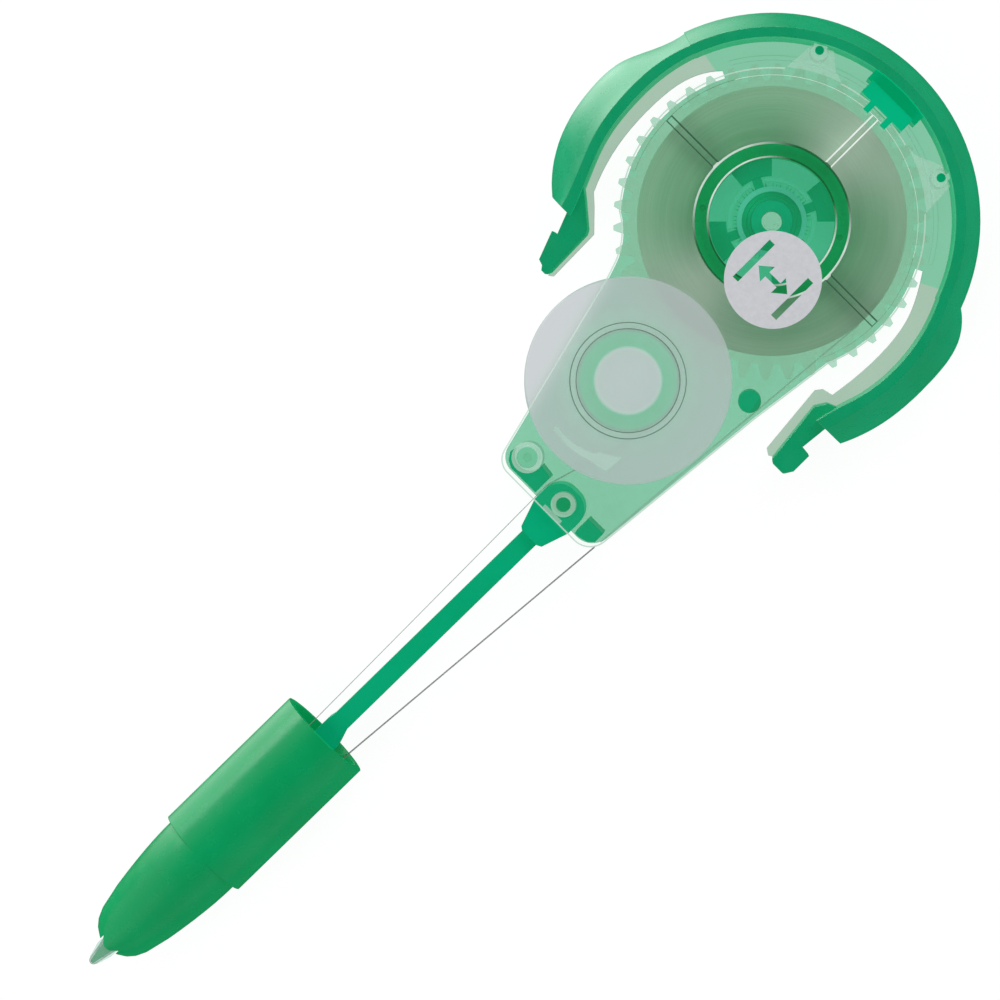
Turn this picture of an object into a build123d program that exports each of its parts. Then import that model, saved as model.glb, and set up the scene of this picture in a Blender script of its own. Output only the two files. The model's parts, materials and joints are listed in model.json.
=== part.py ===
from build123d import *
import math
import os

# ---------------------------------------------------------------------------
# Refill cartridge of a pen-shaped correction tape roller.
# Origin: supply reel axis, on the rest plane (flat back of the plate).
# +X runs along the tip arm towards the applicator, +Z faces the clear cover.
# All sizes in millimetres.
# ---------------------------------------------------------------------------

# heights above the rest plane
plate_z1 = 1.2
gear_z0 = 1.5
gear_z1 = 2.8
tape_z0 = 3.2
tape_width = 4.2
tape_z1 = tape_z0 + tape_width
tape_mid_z = tape_z0 + tape_width / 2
disc_z0 = 7.9
disc_z1 = 8.7
cover_z0 = 9.1
cover_z1 = 10.1
rim_z0 = 0.2
rim_z1 = 12.0
rim_mid_z = (rim_z0 + rim_z1) / 2
hook_inset = 1.9
pivot_step_z = 4.8

# edges and draft of the cover
cover_chamfer = 0.15
rib_draft = 6

# rear moulding in plan
case_r = 14.73
rim_inner_r = 17.54
rim_edge_r = 18.5
rim_crown_r = 20.1
wing_start = 110.0
slot_end = 117.0

# gears
module = 0.7
supply_teeth = 42
take_up_teeth = 17
backlash = 0.06
centre_distance = module * (supply_teeth + take_up_teeth) / 2
mesh_angle = 3.03
take_up_x = centre_distance * math.cos(math.radians(mesh_angle))
take_up_y = centre_distance * math.sin(math.radians(mesh_angle))
supply_pitch = 360 / supply_teeth
take_up_pitch = 360 / take_up_teeth
take_up_phase = mesh_angle + 180 + (mesh_angle / supply_pitch + 0.5) * take_up_pitch

# reels
core_in_r = 6.1
core_out_r = 7.55
roll_r = 13.0
drum_in_r = 3.05
drum_out_r = 4.75
wrap_r = 5.05
disc_r = 10.04
supply_post_r = 2.0
take_up_post_r = 3.0

# arm, nose and tip, in a frame that starts at the arm pivot
pivot_x = 33.43
pivot_y = 5.14
arm_tilt = -0.65
pivot_r = 1.21
arm_head_low = 2.34
arm_head_high = 2.32
arm_head_back = 1.65
arm_corner_r = 2.0
bar_half = 0.96
nose_axis_y = -0.17
nose_x0 = 32.56
nose_r = 4.94
nose_fit_length = 16.6
nose_x1 = 62.15
tip_x = 64.35
blade_bend_x = 61.6
blade_width = 4.4

# tape thickness and the gap it keeps to the parts it runs over
tape_t = 0.08
tape_gap = 0.03

# pins and holes of the cover tabs
tab_pins = [(-14.73, -8.33), (-14.34, 8.53)]

# posts of the end block
corner_post_x = 32.7
corner_post_y = -0.53
guide_pin_x = 13.76
guide_pin_r = 1.1

arm_origin = Plane(origin=(pivot_x, pivot_y, 0), x_dir=(math.cos(math.radians(arm_tilt)),
                                                        math.sin(math.radians(arm_tilt)), 0))


def at_height(z):
    return Plane.XY.offset(z)


def arm_plane(z):
    return arm_origin.offset(z)


def take_up_plane(z):
    return Plane(origin=(take_up_x, take_up_y, z))


def polar(radius, degrees):
    angle = math.radians(degrees)
    return (radius * math.cos(angle), radius * math.sin(angle))


# ---------------------------------------------------------------------------
# Tape path: feed side is tangent to the full roll, return side wraps the
# rounded corner of the arm head and reaches the top of the take-up drum.
# ---------------------------------------------------------------------------
feed_angle = -4.82
feed_r = roll_r + tape_gap + tape_t / 2
feed_start = polar(feed_r, feed_angle + 90)
feed_slope = math.tan(math.radians(feed_angle))


def feed_y(x):
    return feed_start[1] + feed_slope * (x - feed_start[0])


guide_pin_y = feed_y(guide_pin_x) - guide_pin_r - 0.08

corner_x = pivot_x - arm_head_back + arm_corner_r
corner_y = pivot_y - arm_head_low + arm_corner_r
corner_path_r = arm_corner_r + 0.1
drum_path_r = wrap_r + 0.06 + tape_t / 2
corner_dx = corner_x - take_up_x
corner_dy = corner_y - take_up_y
corner_angle = math.degrees(math.atan2(corner_dy, corner_dx))
cross_angle = math.degrees(math.acos((drum_path_r + corner_path_r) / math.hypot(corner_dx, corner_dy)))
drum_touch = polar(drum_path_r, corner_angle + cross_angle)
drum_touch = (take_up_x + drum_touch[0], take_up_y + drum_touch[1])
corner_leave_angle = corner_angle + cross_angle + 180
corner_leave = polar(corner_path_r, corner_leave_angle)
corner_leave = (corner_x + corner_leave[0], corner_y + corner_leave[1])
return_y0 = corner_y - corner_path_r


def gear_outline(teeth, phase):
    """Closed involute outline, drawn around the current location."""
    pitch_r = module * teeth / 2
    base_r = pitch_r * math.cos(math.radians(20))
    tip_r = pitch_r + module
    root_r = pitch_r - 1.25 * module
    inv_20 = math.tan(math.radians(20)) - math.radians(20)
    half_pitch = math.pi / (2 * teeth) - backlash / (2 * pitch_r)

    def flank_angle(radius):
        if radius <= base_r:
            return half_pitch + inv_20
        roll = math.acos(base_r / radius)
        return half_pitch + inv_20 - (math.tan(roll) - roll)

    flank_start = max(base_r, root_r)
    radii = [flank_start + (tip_r - flank_start) * k / 3 for k in range(4)]
    for tooth in range(teeth):
        middle = math.radians(phase + tooth * 360 / teeth)
        following = middle + math.tau / teeth
        rising = [polar(r, math.degrees(middle - flank_angle(r))) for r in radii]
        falling = [polar(r, math.degrees(middle + flank_angle(r))) for r in reversed(radii)]
        root_a = polar(root_r, math.degrees(middle - flank_angle(root_r)))
        root_b = polar(root_r, math.degrees(middle + flank_angle(root_r)))
        root_c = polar(root_r, math.degrees(following - flank_angle(root_r)))
        if root_r < flank_start:
            Line(root_a, rising[0])
            Line(falling[-1], root_b)
        Spline(*rising)
        ThreePointArc(rising[-1], polar(tip_r, math.degrees(middle)), falling[0])
        Spline(*falling)
        if root_r < flank_start:
            last, first, low_r = root_b, root_c, root_r
        else:
            last, low_r = falling[-1], radii[0]
            first = polar(low_r, math.degrees(following - flank_angle(low_r)))
        ThreePointArc(last, polar(low_r, math.degrees((middle + following) / 2)), first)


def strip(points, plane, thickness, height):
    """Band of tape standing on its edge, following straight stretches."""
    with BuildPart(plane) as band:
        with BuildSketch(plane):
            with BuildLine():
                path = Polyline(*points)
            trace(path, thickness)
        extrude(amount=height)
    return band.part


def case_outline():
    """Round reel end that narrows to the block at the arm."""
    upper = Polyline((5.81, 13.54), (14.53, 12.35), (33.24, 10.51))
    corner_a = ThreePointArc(upper @ 1, (34.6, 9.79), (35.17, 8.33))
    end = Line(corner_a @ 1, (35.13, -0.78))
    corner_b = ThreePointArc(end @ 1, (34.74, -1.99), (33.72, -2.66))
    lower = Line(corner_b @ 1, (15.31, -7.27))
    step = Line(lower @ 1, (13.57, -7.85))
    neck = ThreePointArc(step @ 1, (11.34, -9.11), (9.69, -11.09))
    ThreePointArc(neck @ 1, (-case_r, 0), upper @ 0)


# ---------------------------------------------------------------------------
# Rear moulding: plate, crowned C-shaped rim, sprung wings, posts and walls
# ---------------------------------------------------------------------------
wing_root = wing_start + 0.6
upper_inner = [polar(rim_inner_r + 0.06, wing_root), (-1.94, 17.97), (1.94, 18.36), (5.81, 17.88),
               (8.3, 17.1), (10.46, 16.6)]
upper_edge = [polar(rim_edge_r - 0.06, wing_root), (-1.94, 18.99), (1.94, 19.38), (5.81, 18.94),
              (10.46, 17.83)]
upper_crown = [polar(rim_crown_r - 0.08, wing_root), (-3.88, 21.22), (0, 21.8), (5.81, 21.46),
               (10.46, 19.9)]
lower_inner = [polar(rim_inner_r + 0.06, -wing_root), (-1.94, -17.44), (1.94, -17.49), (5.81, -16.91),
               (10.66, -15.02), (13.32, -14.0)]
lower_edge = [polar(rim_edge_r - 0.06, -wing_root), (-1.94, -18.46), (1.94, -18.51), (5.81, -17.93),
              (10.66, -16.1), (13.32, -15.2)]
lower_crown = [polar(rim_crown_r - 0.08, -wing_root), (-3.68, -19.82), (-0.48, -21.2), (2.91, -21.46),
               (8.72, -20.16), (13.32, -16.67)]


def wing_section(inner, outer, z):
    with BuildSketch(at_height(z)) as section:
        with BuildLine():
            inside = Spline(*inner)
            outside = Spline(*outer)
            Line(inside @ 0, outside @ 0)
            Line(inside @ 1, outside @ 1)
        make_face()
    return section.sketch


def wing(inner, edge, crown):
    """Sprung wing: straight inside, crowned outside."""
    with BuildPart() as body:
        sections = [wing_section(inner, edge, rim_z0), wing_section(inner, crown, rim_mid_z),
                    wing_section(inner, edge, rim_z1)]
        loft(sections=sections)
    return body.part


def rim_arc():
    """Crowned rim behind the reel, swept around the reel axis."""
    sweep_angle = 360 - 2 * wing_start
    start = Plane.XZ.rotated((0, 0, wing_start))
    with BuildPart() as body:
        with BuildSketch(start):
            with BuildLine():
                Line((rim_inner_r, rim_z0), (rim_edge_r, rim_z0))
                ThreePointArc((rim_edge_r, rim_z0), (rim_crown_r, rim_mid_z), (rim_edge_r, rim_z1))
                Line((rim_edge_r, rim_z1), (rim_inner_r, rim_z1))
                Line((rim_inner_r, rim_z1), (rim_inner_r, rim_z0))
            make_face()
        revolve(axis=Axis.Z, revolution_arc=sweep_angle)
    return body.part


def upper_hook():
    with BuildPart() as body:
        with BuildSketch(at_height(rim_z0 + hook_inset)):
            with BuildLine():
                Polyline((8.2, 17.1), (8.6, 16.2), (9.7, 15.5), (16.0, 16.2), (16.38, 16.5), (16.38, 17.95),
                         (15.5, 18.5), (13.4, 18.5), (13.3, 17.45), (10.4, 17.75), (9.5, 17.9), (8.2, 17.1))
            make_face()
        extrude(amount=rim_z1 - rim_z0 - 2 * hook_inset)
        fillet(body.edges().filter_by(Axis.Z).group_by(Axis.X)[-1], 0.3)
    return body.part


def lower_hook():
    with BuildPart() as body:
        with BuildSketch(at_height(rim_z0 + hook_inset)):
            with BuildLine():
                Polyline((10.4, -15.2), (11.1, -14.3), (13.1, -11.95), (13.6, -11.72), (18.6, -11.6),
                         (19.0, -11.8), (19.0, -12.3), (18.6, -12.6), (18.4, -13.2), (15.6, -14.25),
                         (15.5, -13.66), (13.32, -14.5), (12.6, -15.2), (10.4, -15.2))
            make_face()
        extrude(amount=rim_z1 - rim_z0 - 2 * hook_inset)
    return body.part


def upper_flange():
    with BuildSketch(Plane.XY) as band:
        with BuildLine():
            edge = Spline(polar(15.5, slot_end), (-5.8, 14.6), (-2.9, 16.0), (0.5, 16.6), (5.0, 16.5),
                          (7.7, 16.15))
            tail = Polyline(edge @ 1, (7.95, 15.1), (8.6, 14.6), (15.9, 15.3), (16.3, 15.9), (15.9, 16.6),
                            (9.5, 17.4))
            outer = Spline(tail @ 1, (5.81, 18.2), (1.94, 18.7), (-1.94, 18.3), polar(17.9, slot_end))
            Line(outer @ 1, edge @ 0)
        make_face()
    return band.sketch


def lower_flange():
    with BuildSketch(Plane.XY) as band:
        with BuildLine():
            edge = Spline(polar(15.5, -slot_end), (-3.9, -15.7), (0, -16.25), (5.8, -15.8), (10.2, -14.35))
            tail = Polyline(edge @ 1, (11.15, -13.3), (13.1, -11.4), (18.8, -11.3), (19.1, -11.7),
                            (18.2, -12.4), (13.3, -13.6), (11.3, -15.3))
            outer = Spline(tail @ 1, (5.81, -17.3), (1.94, -17.9), (-1.94, -17.85), polar(17.9, -slot_end))
            Line(outer @ 1, edge @ 0)
        make_face()
    return band.sketch


def web_sector(inner_r, outer_r, half_angle):
    """Part ring centred on -X."""
    with BuildSketch(Plane.XY) as sector:
        with BuildLine():
            outer = CenterArc((0, 0), outer_r, 180 - half_angle, 2 * half_angle)
            inner = CenterArc((0, 0), inner_r, 180 - half_angle, 2 * half_angle)
            Line(outer @ 0, inner @ 0)
            Line(outer @ 1, inner @ 1)
        make_face()
    return sector.sketch


with BuildPart() as rear_case:
    with BuildSketch(Plane.XY):
        with BuildLine():
            case_outline()
        make_face()
        add(web_sector(case_r - 1, rim_inner_r + 0.4, 180 - slot_end))
        add(upper_flange())
        add(lower_flange())
    extrude(amount=plate_z1)
    add(rim_arc())
    add(wing(upper_inner, upper_edge, upper_crown))
    add(wing(lower_inner, lower_edge, lower_crown))
    add(upper_hook())
    add(lower_hook())
    # low guard rib beside the supply gear
    with BuildSketch(at_height(plate_z1)):
        add(web_sector(15.75, 16.2, 60))
    extrude(amount=1.0)
    # locating block behind the cover and stiffening block on the rim
    with BuildSketch(at_height(plate_z1)):
        with Locations((-15.95, 0)):
            Rectangle(0.7, 5.4)
    extrude(amount=cover_z1 - plate_z1 + 0.75)
    with BuildSketch(at_height(gear_z1 + 0.3)):
        with Locations((-15.27, 0)):
            Rectangle(1.06, 5.4)
    extrude(amount=cover_z1 - gear_z1 + 0.45)
    with BuildSketch(at_height(cover_z1 + 0.05)):
        with Locations((-14.6, 1.115), (-14.6, -1.115)):
            Rectangle(1.8, 0.63)
    extrude(amount=0.7)
    with BuildSketch(at_height(plate_z1)):
        with Locations((-16.9, 0)):
            Rectangle(1.5, 6.4)
    extrude(amount=7.6)
    # pins that locate the cover tabs
    with BuildSketch(at_height(plate_z1)):
        with Locations(*tab_pins):
            Circle(0.9)
    extrude(amount=cover_z0 - plate_z1 - 0.05)
    with BuildSketch(at_height(cover_z0 - 0.05)):
        with Locations(*tab_pins):
            Circle(0.42)
    extrude(amount=1.1)
    # post of the supply reel
    with BuildSketch(at_height(plate_z1)):
        Circle(supply_post_r)
        Circle(1.0, mode=Mode.SUBTRACT)
    extrude(amount=disc_z1 - 0.3 - plate_z1)
    with BuildSketch(at_height(plate_z1)):
        Circle(2.9)
        Circle(1.0, mode=Mode.SUBTRACT)
    extrude(amount=0.25)
    # post of the take-up reel
    with BuildSketch(take_up_plane(plate_z1)):
        Circle(take_up_post_r)
        Circle(2.2, mode=Mode.SUBTRACT)
    extrude(amount=disc_z0 - 1.1 - plate_z1)
    with BuildSketch(take_up_plane(plate_z1)):
        Circle(4.0)
        Circle(2.2, mode=Mode.SUBTRACT)
    extrude(amount=0.25)
    # tape guide pin
    with BuildSketch(at_height(plate_z1)):
        with Locations((guide_pin_x, guide_pin_y)):
            Circle(guide_pin_r)
    extrude(amount=cover_z0 - plate_z1 - 0.05)
    # arm pivot post, stepped for the socket of the cover
    with BuildSketch(arm_plane(plate_z1)):
        Circle(pivot_r)
    extrude(amount=pivot_step_z - plate_z1)
    with BuildSketch(arm_plane(pivot_step_z)):
        Circle(0.68)
    extrude(amount=cover_z0 - pivot_step_z - 0.05)
    # end walls beside the arm head, and the corner post in its socket
    with BuildSketch(at_height(plate_z1)):
        with BuildLine():
            Polyline((32.75, 9.85), (33.9, 9.85), (34.4, 9.3), (34.65, 8.4), (34.65, 7.85), (32.75, 7.85),
                     (32.75, 9.85))
        make_face()
        with BuildLine():
            Polyline((32.5, 2.4), (34.55, 2.4), (34.55, -0.9), (34.2, -1.6), (33.5, -2.1), (32.0, -1.9),
                     (32.5, 2.4))
        make_face()
        with Locations((corner_post_x, corner_post_y)):
            Circle(1.55, mode=Mode.SUBTRACT)
            Circle(1.0)
    extrude(amount=cover_z0 - plate_z1 - 0.1)
    with BuildSketch(at_height(cover_z0 - 0.5)):
        with Locations((corner_post_x, corner_post_y)):
            Circle(0.39)
    extrude(amount=0.5, mode=Mode.SUBTRACT)
rear_case.part.label = "rear_case"


# ---------------------------------------------------------------------------
# Clear front cover
# ---------------------------------------------------------------------------
def drafted_ring(outer_r, inner_r, depth, draft):
    """Ring under the cover plate whose walls lean in towards its foot."""
    with BuildPart() as ring:
        with BuildSketch(Plane.XZ):
            Polygon((inner_r, cover_z0), (outer_r, cover_z0), (outer_r - draft, cover_z0 - depth),
                    (inner_r + draft, cover_z0 - depth), align=None)
        revolve(axis=Axis.Z)
    return ring.part


with BuildPart() as front_cover:
    with BuildSketch(at_height(cover_z0)):
        with BuildLine():
            case_outline()
        make_face()
    extrude(amount=cover_z1 - cover_z0)
    chamfer(front_cover.edges().group_by(Axis.Z)[-1], cover_chamfer)
    # tabs with pin holes, and the notch for the locating block
    with BuildSketch(at_height(cover_z0)):
        with BuildLine():
            Polyline((-10.5, -9.5), (-14.53, -9.2), (-15.65, -7.3), (-14.4, -5.8), (-14.0, -4.6),
                     (-12.0, -4.6), (-10.5, -9.5))
        make_face()
        with BuildLine():
            Polyline((-10.5, 9.9), (-14.34, 9.75), (-15.2, 7.75), (-14.1, 5.2), (-14.2, 3.9), (-12.0, 3.9),
                     (-10.5, 9.9))
        make_face()
    extrude(amount=cover_z1 - cover_z0)
    with BuildSketch(at_height(cover_z0)):
        with Locations(*tab_pins):
            Circle(0.45)
        with Locations((-15.0, 0)):
            Rectangle(0.6, 5.6)
    extrude(amount=cover_z1 - cover_z0, mode=Mode.SUBTRACT)
    # shallow ejector marks
    with BuildSketch(at_height(cover_z1 - 0.08)):
        with Locations((-3.1, 9.2), (-3.1, -9.2)):
            Circle(1.36)
            Circle(1.26, mode=Mode.SUBTRACT)
    extrude(amount=0.08, mode=Mode.SUBTRACT)
    # edge skirt along the round end
    with BuildSketch(at_height(cover_z0 - 1.0)):
        add(web_sector(case_r - 0.7, case_r, 115))
        with Locations((-15.0, 0)):
            Rectangle(1.2, 5.6, mode=Mode.SUBTRACT)
    extrude(amount=1.0)
    # ribs that keep the roll seated, with moulding draft
    with BuildSketch(at_height(cover_z0)):
        with Locations((-10.9, 0)):
            Rectangle(6.6, 0.82)
        with Locations((0, 10.85), (0, -10.85)):
            Rectangle(0.82, 6.5)
    extrude(amount=tape_z1 + 0.3 - cover_z0, taper=rib_draft)
    # ring over the core and thrust ring over the take-up disc
    add(drafted_ring(7.62, 6.1, 0.9, 0.18))
    add(take_up_plane(0).location * drafted_ring(5.66, 4.96, cover_z0 - disc_z1 - 0.1, 0.1))
    # centring pin and sockets over the posts
    with BuildSketch(at_height(cover_z0 - 3.3)):
        Circle(0.82)
        with Locations((0, 0.7)):
            Rectangle(0.35, 0.6, mode=Mode.SUBTRACT)
    extrude(amount=3.3)
    with BuildSketch(arm_plane(pivot_step_z + 0.05)):
        Circle(pivot_r)
        Circle(0.71, mode=Mode.SUBTRACT)
    extrude(amount=cover_z0 - pivot_step_z - 0.05)
    with BuildSketch(at_height(pivot_step_z)):
        with Locations((corner_post_x, corner_post_y)):
            Circle(1.5)
            Circle(1.03, mode=Mode.SUBTRACT)
    extrude(amount=cover_z0 - pivot_step_z)
    # raised bar beside the pivot socket
    with BuildSketch(at_height(cover_z1)):
        with Locations((34.85, 5.04)):
            Rectangle(0.45, 2.3)
    extrude(amount=0.25)
    # raised arrow for the turning direction of the take-up reel
    with BuildSketch(take_up_plane(cover_z1)):
        with BuildLine():
            outer = ThreePointArc(polar(8.5, -12), polar(8.5, 6), polar(8.5, 24))
            inner = ThreePointArc(polar(8.05, -12), polar(7.9, 6), polar(7.6, 24))
            Line(outer @ 0, inner @ 0)
            Line(outer @ 1, inner @ 1)
        make_face()
        with BuildLine():
            Polyline(polar(7.4, 22), polar(8.6, 22), polar(8.94, 31.5), polar(7.44, 40.5), polar(7.4, 22))
        make_face()
    extrude(amount=0.12)
front_cover.part.label = "front_cover"


# ---------------------------------------------------------------------------
# Round badge with a tape-width pictogram: two bars and a double arrow
# ---------------------------------------------------------------------------
with BuildPart() as width_badge:
    with BuildSketch(Plane(origin=(3.92, 4.07, cover_z1 + 0.02))):
        Circle(4.7)
        with Locations((0, 2.6), (0, -2.6)):
            Rectangle(5.0, 0.7, mode=Mode.SUBTRACT)
        Rectangle(0.55, 1.9, mode=Mode.SUBTRACT)
        with BuildLine():
            Polyline((-1.0, 0.75), (1.0, 0.75), (0, 1.95), (-1.0, 0.75))
        make_face(mode=Mode.SUBTRACT)
        with BuildLine():
            Polyline((-1.0, -0.75), (1.0, -0.75), (0, -1.95), (-1.0, -0.75))
        make_face(mode=Mode.SUBTRACT)
    extrude(amount=0.1)
width_badge.part.label = "width_badge"


# ---------------------------------------------------------------------------
# Supply reel: gear, friction clutch, core and roll
# ---------------------------------------------------------------------------
with BuildPart() as supply_gear:
    with BuildSketch(at_height(gear_z0)):
        with BuildLine():
            gear_outline(supply_teeth, 0)
        make_face()
        Circle(supply_post_r + 0.05, mode=Mode.SUBTRACT)
    extrude(amount=gear_z1 - gear_z0)
    with BuildSketch(at_height(gear_z1)):
        Circle(2.38)
        Circle(supply_post_r + 0.05, mode=Mode.SUBTRACT)
    extrude(amount=3.2)
    # driving wall with four gaps for the clutch spokes
    with BuildSketch(at_height(gear_z1)):
        Circle(4.26)
        Circle(3.88, mode=Mode.SUBTRACT)
        with PolarLocations(4.07, 4, start_angle=65):
            Rectangle(1.6, 1.5, mode=Mode.SUBTRACT)
    extrude(amount=2.6)
    # stiffening ring under the roll
    with BuildSketch(at_height(gear_z1)):
        Circle(12.6)
        Circle(12.1, mode=Mode.SUBTRACT)
    extrude(amount=0.2)
supply_gear.part.label = "supply_gear"

with BuildPart() as clutch_star:
    with BuildSketch(at_height(gear_z1 + 0.05)):
        Circle(3.4)
        Circle(2.43, mode=Mode.SUBTRACT)
        with PolarLocations(3.8, 4, start_angle=65):
            Rectangle(1.6, 0.9)
    extrude(amount=2.7)
    with BuildSketch(at_height(gear_z1 + 0.25)):
        Circle(6.05)
        Circle(4.4, mode=Mode.SUBTRACT)
        for pad in range(4):
            with BuildLine():
                Polyline((0, 0), polar(9, 85 + 90 * pad), polar(9, 135 + 90 * pad), (0, 0))
            make_face(mode=Mode.SUBTRACT)
    extrude(amount=2.6)
clutch_star.part.label = "clutch_star"

with BuildPart() as clutch_washer:
    with BuildSketch(at_height(gear_z1 + 2.8)):
        Circle(3.4)
        Circle(2.9, mode=Mode.SUBTRACT)
    extrude(amount=0.3)
clutch_washer.part.label = "clutch_washer"

with BuildPart() as supply_core:
    with BuildSketch(at_height(gear_z1 + 0.3)):
        Circle(core_out_r)
        Circle(core_in_r, mode=Mode.SUBTRACT)
    extrude(amount=tape_z1 + 0.2 - gear_z1 - 0.3)
    with BuildSketch(at_height(tape_z1)):
        with Locations((-3.5, 5.75), (3.78, -5.6)):
            Circle(0.3)
    extrude(amount=0.2, mode=Mode.SUBTRACT)
supply_core.part.label = "supply_core"

with BuildPart() as tape_roll:
    with BuildSketch(at_height(tape_z0)):
        Circle(roll_r)
        Circle(core_out_r + 0.04, mode=Mode.SUBTRACT)
    extrude(amount=tape_width)
tape_roll.part.label = "tape_roll"


# ---------------------------------------------------------------------------
# Take-up reel: pinion with drum, frosted turning disc, wound leader
# ---------------------------------------------------------------------------
with BuildPart() as take_up_gear:
    with BuildSketch(take_up_plane(gear_z0)):
        with BuildLine():
            gear_outline(take_up_teeth, take_up_phase)
        make_face()
        Circle(drum_in_r, mode=Mode.SUBTRACT)
    extrude(amount=gear_z1 - gear_z0)
    with BuildSketch(take_up_plane(gear_z1)):
        Circle(drum_out_r)
        Circle(drum_in_r, mode=Mode.SUBTRACT)
    extrude(amount=disc_z0 - gear_z1 - 0.05)
take_up_gear.part.label = "take_up_gear"

with BuildPart() as take_up_disc:
    with BuildSketch(take_up_plane(disc_z0)):
        Circle(disc_r)
    extrude(amount=disc_z1 - disc_z0)
    fillet(take_up_disc.edges(), 0.25)
    with BuildSketch(take_up_plane(disc_z0 - 1.0)):
        Circle(drum_in_r - 0.03)
        Circle(2.3, mode=Mode.SUBTRACT)
    extrude(amount=1.0)
    with BuildSketch(take_up_plane(disc_z1 - 0.1)):
        Circle(0.25)
    extrude(amount=0.1, mode=Mode.SUBTRACT)
take_up_disc.part.label = "take_up_disc"

with BuildPart() as take_up_wrap:
    with BuildSketch(take_up_plane(tape_z0)):
        Circle(wrap_r)
        Circle(drum_out_r + 0.03, mode=Mode.SUBTRACT)
    extrude(amount=tape_width)
take_up_wrap.part.label = "take_up_wrap"


# ---------------------------------------------------------------------------
# Swinging arm, nose and applicator
# ---------------------------------------------------------------------------
with BuildPart() as arm:
    with BuildSketch(arm_plane(plate_z1 + 0.2)):
        with BuildLine():
            front = Polyline((1.6, -arm_head_low), (4.4, -1.35), (4.65, -1.0), (4.65, 1.0), (4.4, 1.45),
                             (1.7, arm_head_high))
            top = Line(front @ 1, (arm_corner_r - arm_head_back, arm_head_high))
            bend_a = RadiusArc(top @ 1, (-arm_head_back, arm_head_high - arm_corner_r), -arm_corner_r)
            back = Line(bend_a @ 1, (-arm_head_back, arm_corner_r - arm_head_low))
            bend_b = RadiusArc(back @ 1, (arm_corner_r - arm_head_back, -arm_head_low), -arm_corner_r)
            Line(bend_b @ 1, front @ 0)
        make_face()
        Circle(pivot_r + 0.05, mode=Mode.SUBTRACT)
    extrude(amount=cover_z0 - plate_z1 - 0.4)
    # bar with a raised lug where it enters the nose
    with BuildSketch(arm_plane(tape_mid_z - 2.3)):
        with BuildLine():
            Polyline((4.0, -bar_half), (30.4, -bar_half), (31.0, -1.1), (34.2, -1.1), (36.0, -bar_half),
                     (56.6, -bar_half), (56.6, 0.7), (34.6, 0.7), (34.2, 1.6), (32.4, 1.5), (30.6, 0.9),
                     (30.2, bar_half), (4.0, bar_half), (4.0, -bar_half))
        make_face()
    extrude(amount=4.6)
arm.part.label = "arm"

nose_centre = arm_origin.from_local_coords(Vector(0, nose_axis_y, tape_mid_z))
nose_plane = Plane(origin=nose_centre, x_dir=arm_origin.x_dir, z_dir=(0, 0, 1))
nose_step_x = nose_x0 + nose_fit_length
# front of the nose: distance along the arm, half width across, half height
nose_ovals = [(nose_step_x - 0.3, 4.38, nose_r), (51.0, 4.36, 4.9), (53.0, 4.22, 4.74), (55.0, 4.0, 4.45),
              (57.5, 3.64, 3.98)]
# blunt end that closes in to a chisel in plan
chisel_ovals = [nose_ovals[-1], (60.0, 3.08, 3.5), (61.0, 2.62, 3.25), (61.6, 2.1, 3.08),
                (62.0, 1.45, 2.96), (nose_x1, 0.9, 2.9)]


def nose_section(x, half_width, half_height):
    centre = arm_origin.from_local_coords(Vector(x, nose_axis_y, tape_mid_z))
    with BuildSketch(Plane(origin=centre, x_dir=arm_origin.y_dir, z_dir=arm_origin.x_dir)) as oval:
        Ellipse(half_width, half_height)
    return oval.sketch


with BuildPart() as nose_cone:
    with BuildSketch(nose_plane):
        with BuildLine():
            Polyline((nose_x0, 0), (nose_x0, nose_r), (nose_step_x, nose_r), (nose_step_x, 0), (nose_x0, 0))
        make_face()
    revolve(axis=Axis(nose_centre, arm_origin.x_dir))
    loft(sections=[nose_section(*oval) for oval in nose_ovals])
    loft(sections=[nose_section(*oval) for oval in chisel_ovals], ruled=True)
    # bore for the tape and the arm
    with BuildSketch(nose_plane):
        with BuildLine():
            Polyline((nose_x0 - 0.1, 0), (nose_x0 - 0.1, 4.15), (nose_x0, 4.15), (48.0, 3.4), (57.0, 2.95),
                     (60.6, 2.2), (60.6, 0), (nose_x0 - 0.1, 0))
        make_face()
    revolve(axis=Axis(nose_centre, arm_origin.x_dir), mode=Mode.SUBTRACT)
    with BuildSketch(arm_plane(tape_mid_z - 2.76)):
        with Locations((59.5, nose_axis_y)):
            Rectangle(6.4, 2.1)
    extrude(amount=5.52, mode=Mode.SUBTRACT)
nose_cone.part.label = "nose_cone"

# clear carrier: two side plates that guide the tape edges, joined behind the blade
with BuildPart() as tip_carrier:
    for base in (tape_mid_z - 2.7, tape_mid_z + 2.25):
        with BuildSketch(arm_plane(base)):
            with BuildLine():
                Polyline((57.0, nose_axis_y - 1.0), (tip_x - 1.95, nose_axis_y - 0.95),
                         (tip_x - 0.45, nose_axis_y - 0.5), (tip_x - 0.25, nose_axis_y),
                         (tip_x - 0.45, nose_axis_y + 0.5), (tip_x - 1.95, nose_axis_y + 0.95),
                         (57.0, nose_axis_y + 1.0), (57.0, nose_axis_y - 1.0))
            make_face()
        extrude(amount=0.45)
    with BuildSketch(arm_plane(tape_mid_z - 2.4)):
        with Locations((57.4, nose_axis_y)):
            Rectangle(0.8, 1.5)
    extrude(amount=4.8)
tip_carrier.part.label = "tip_carrier"

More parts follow.
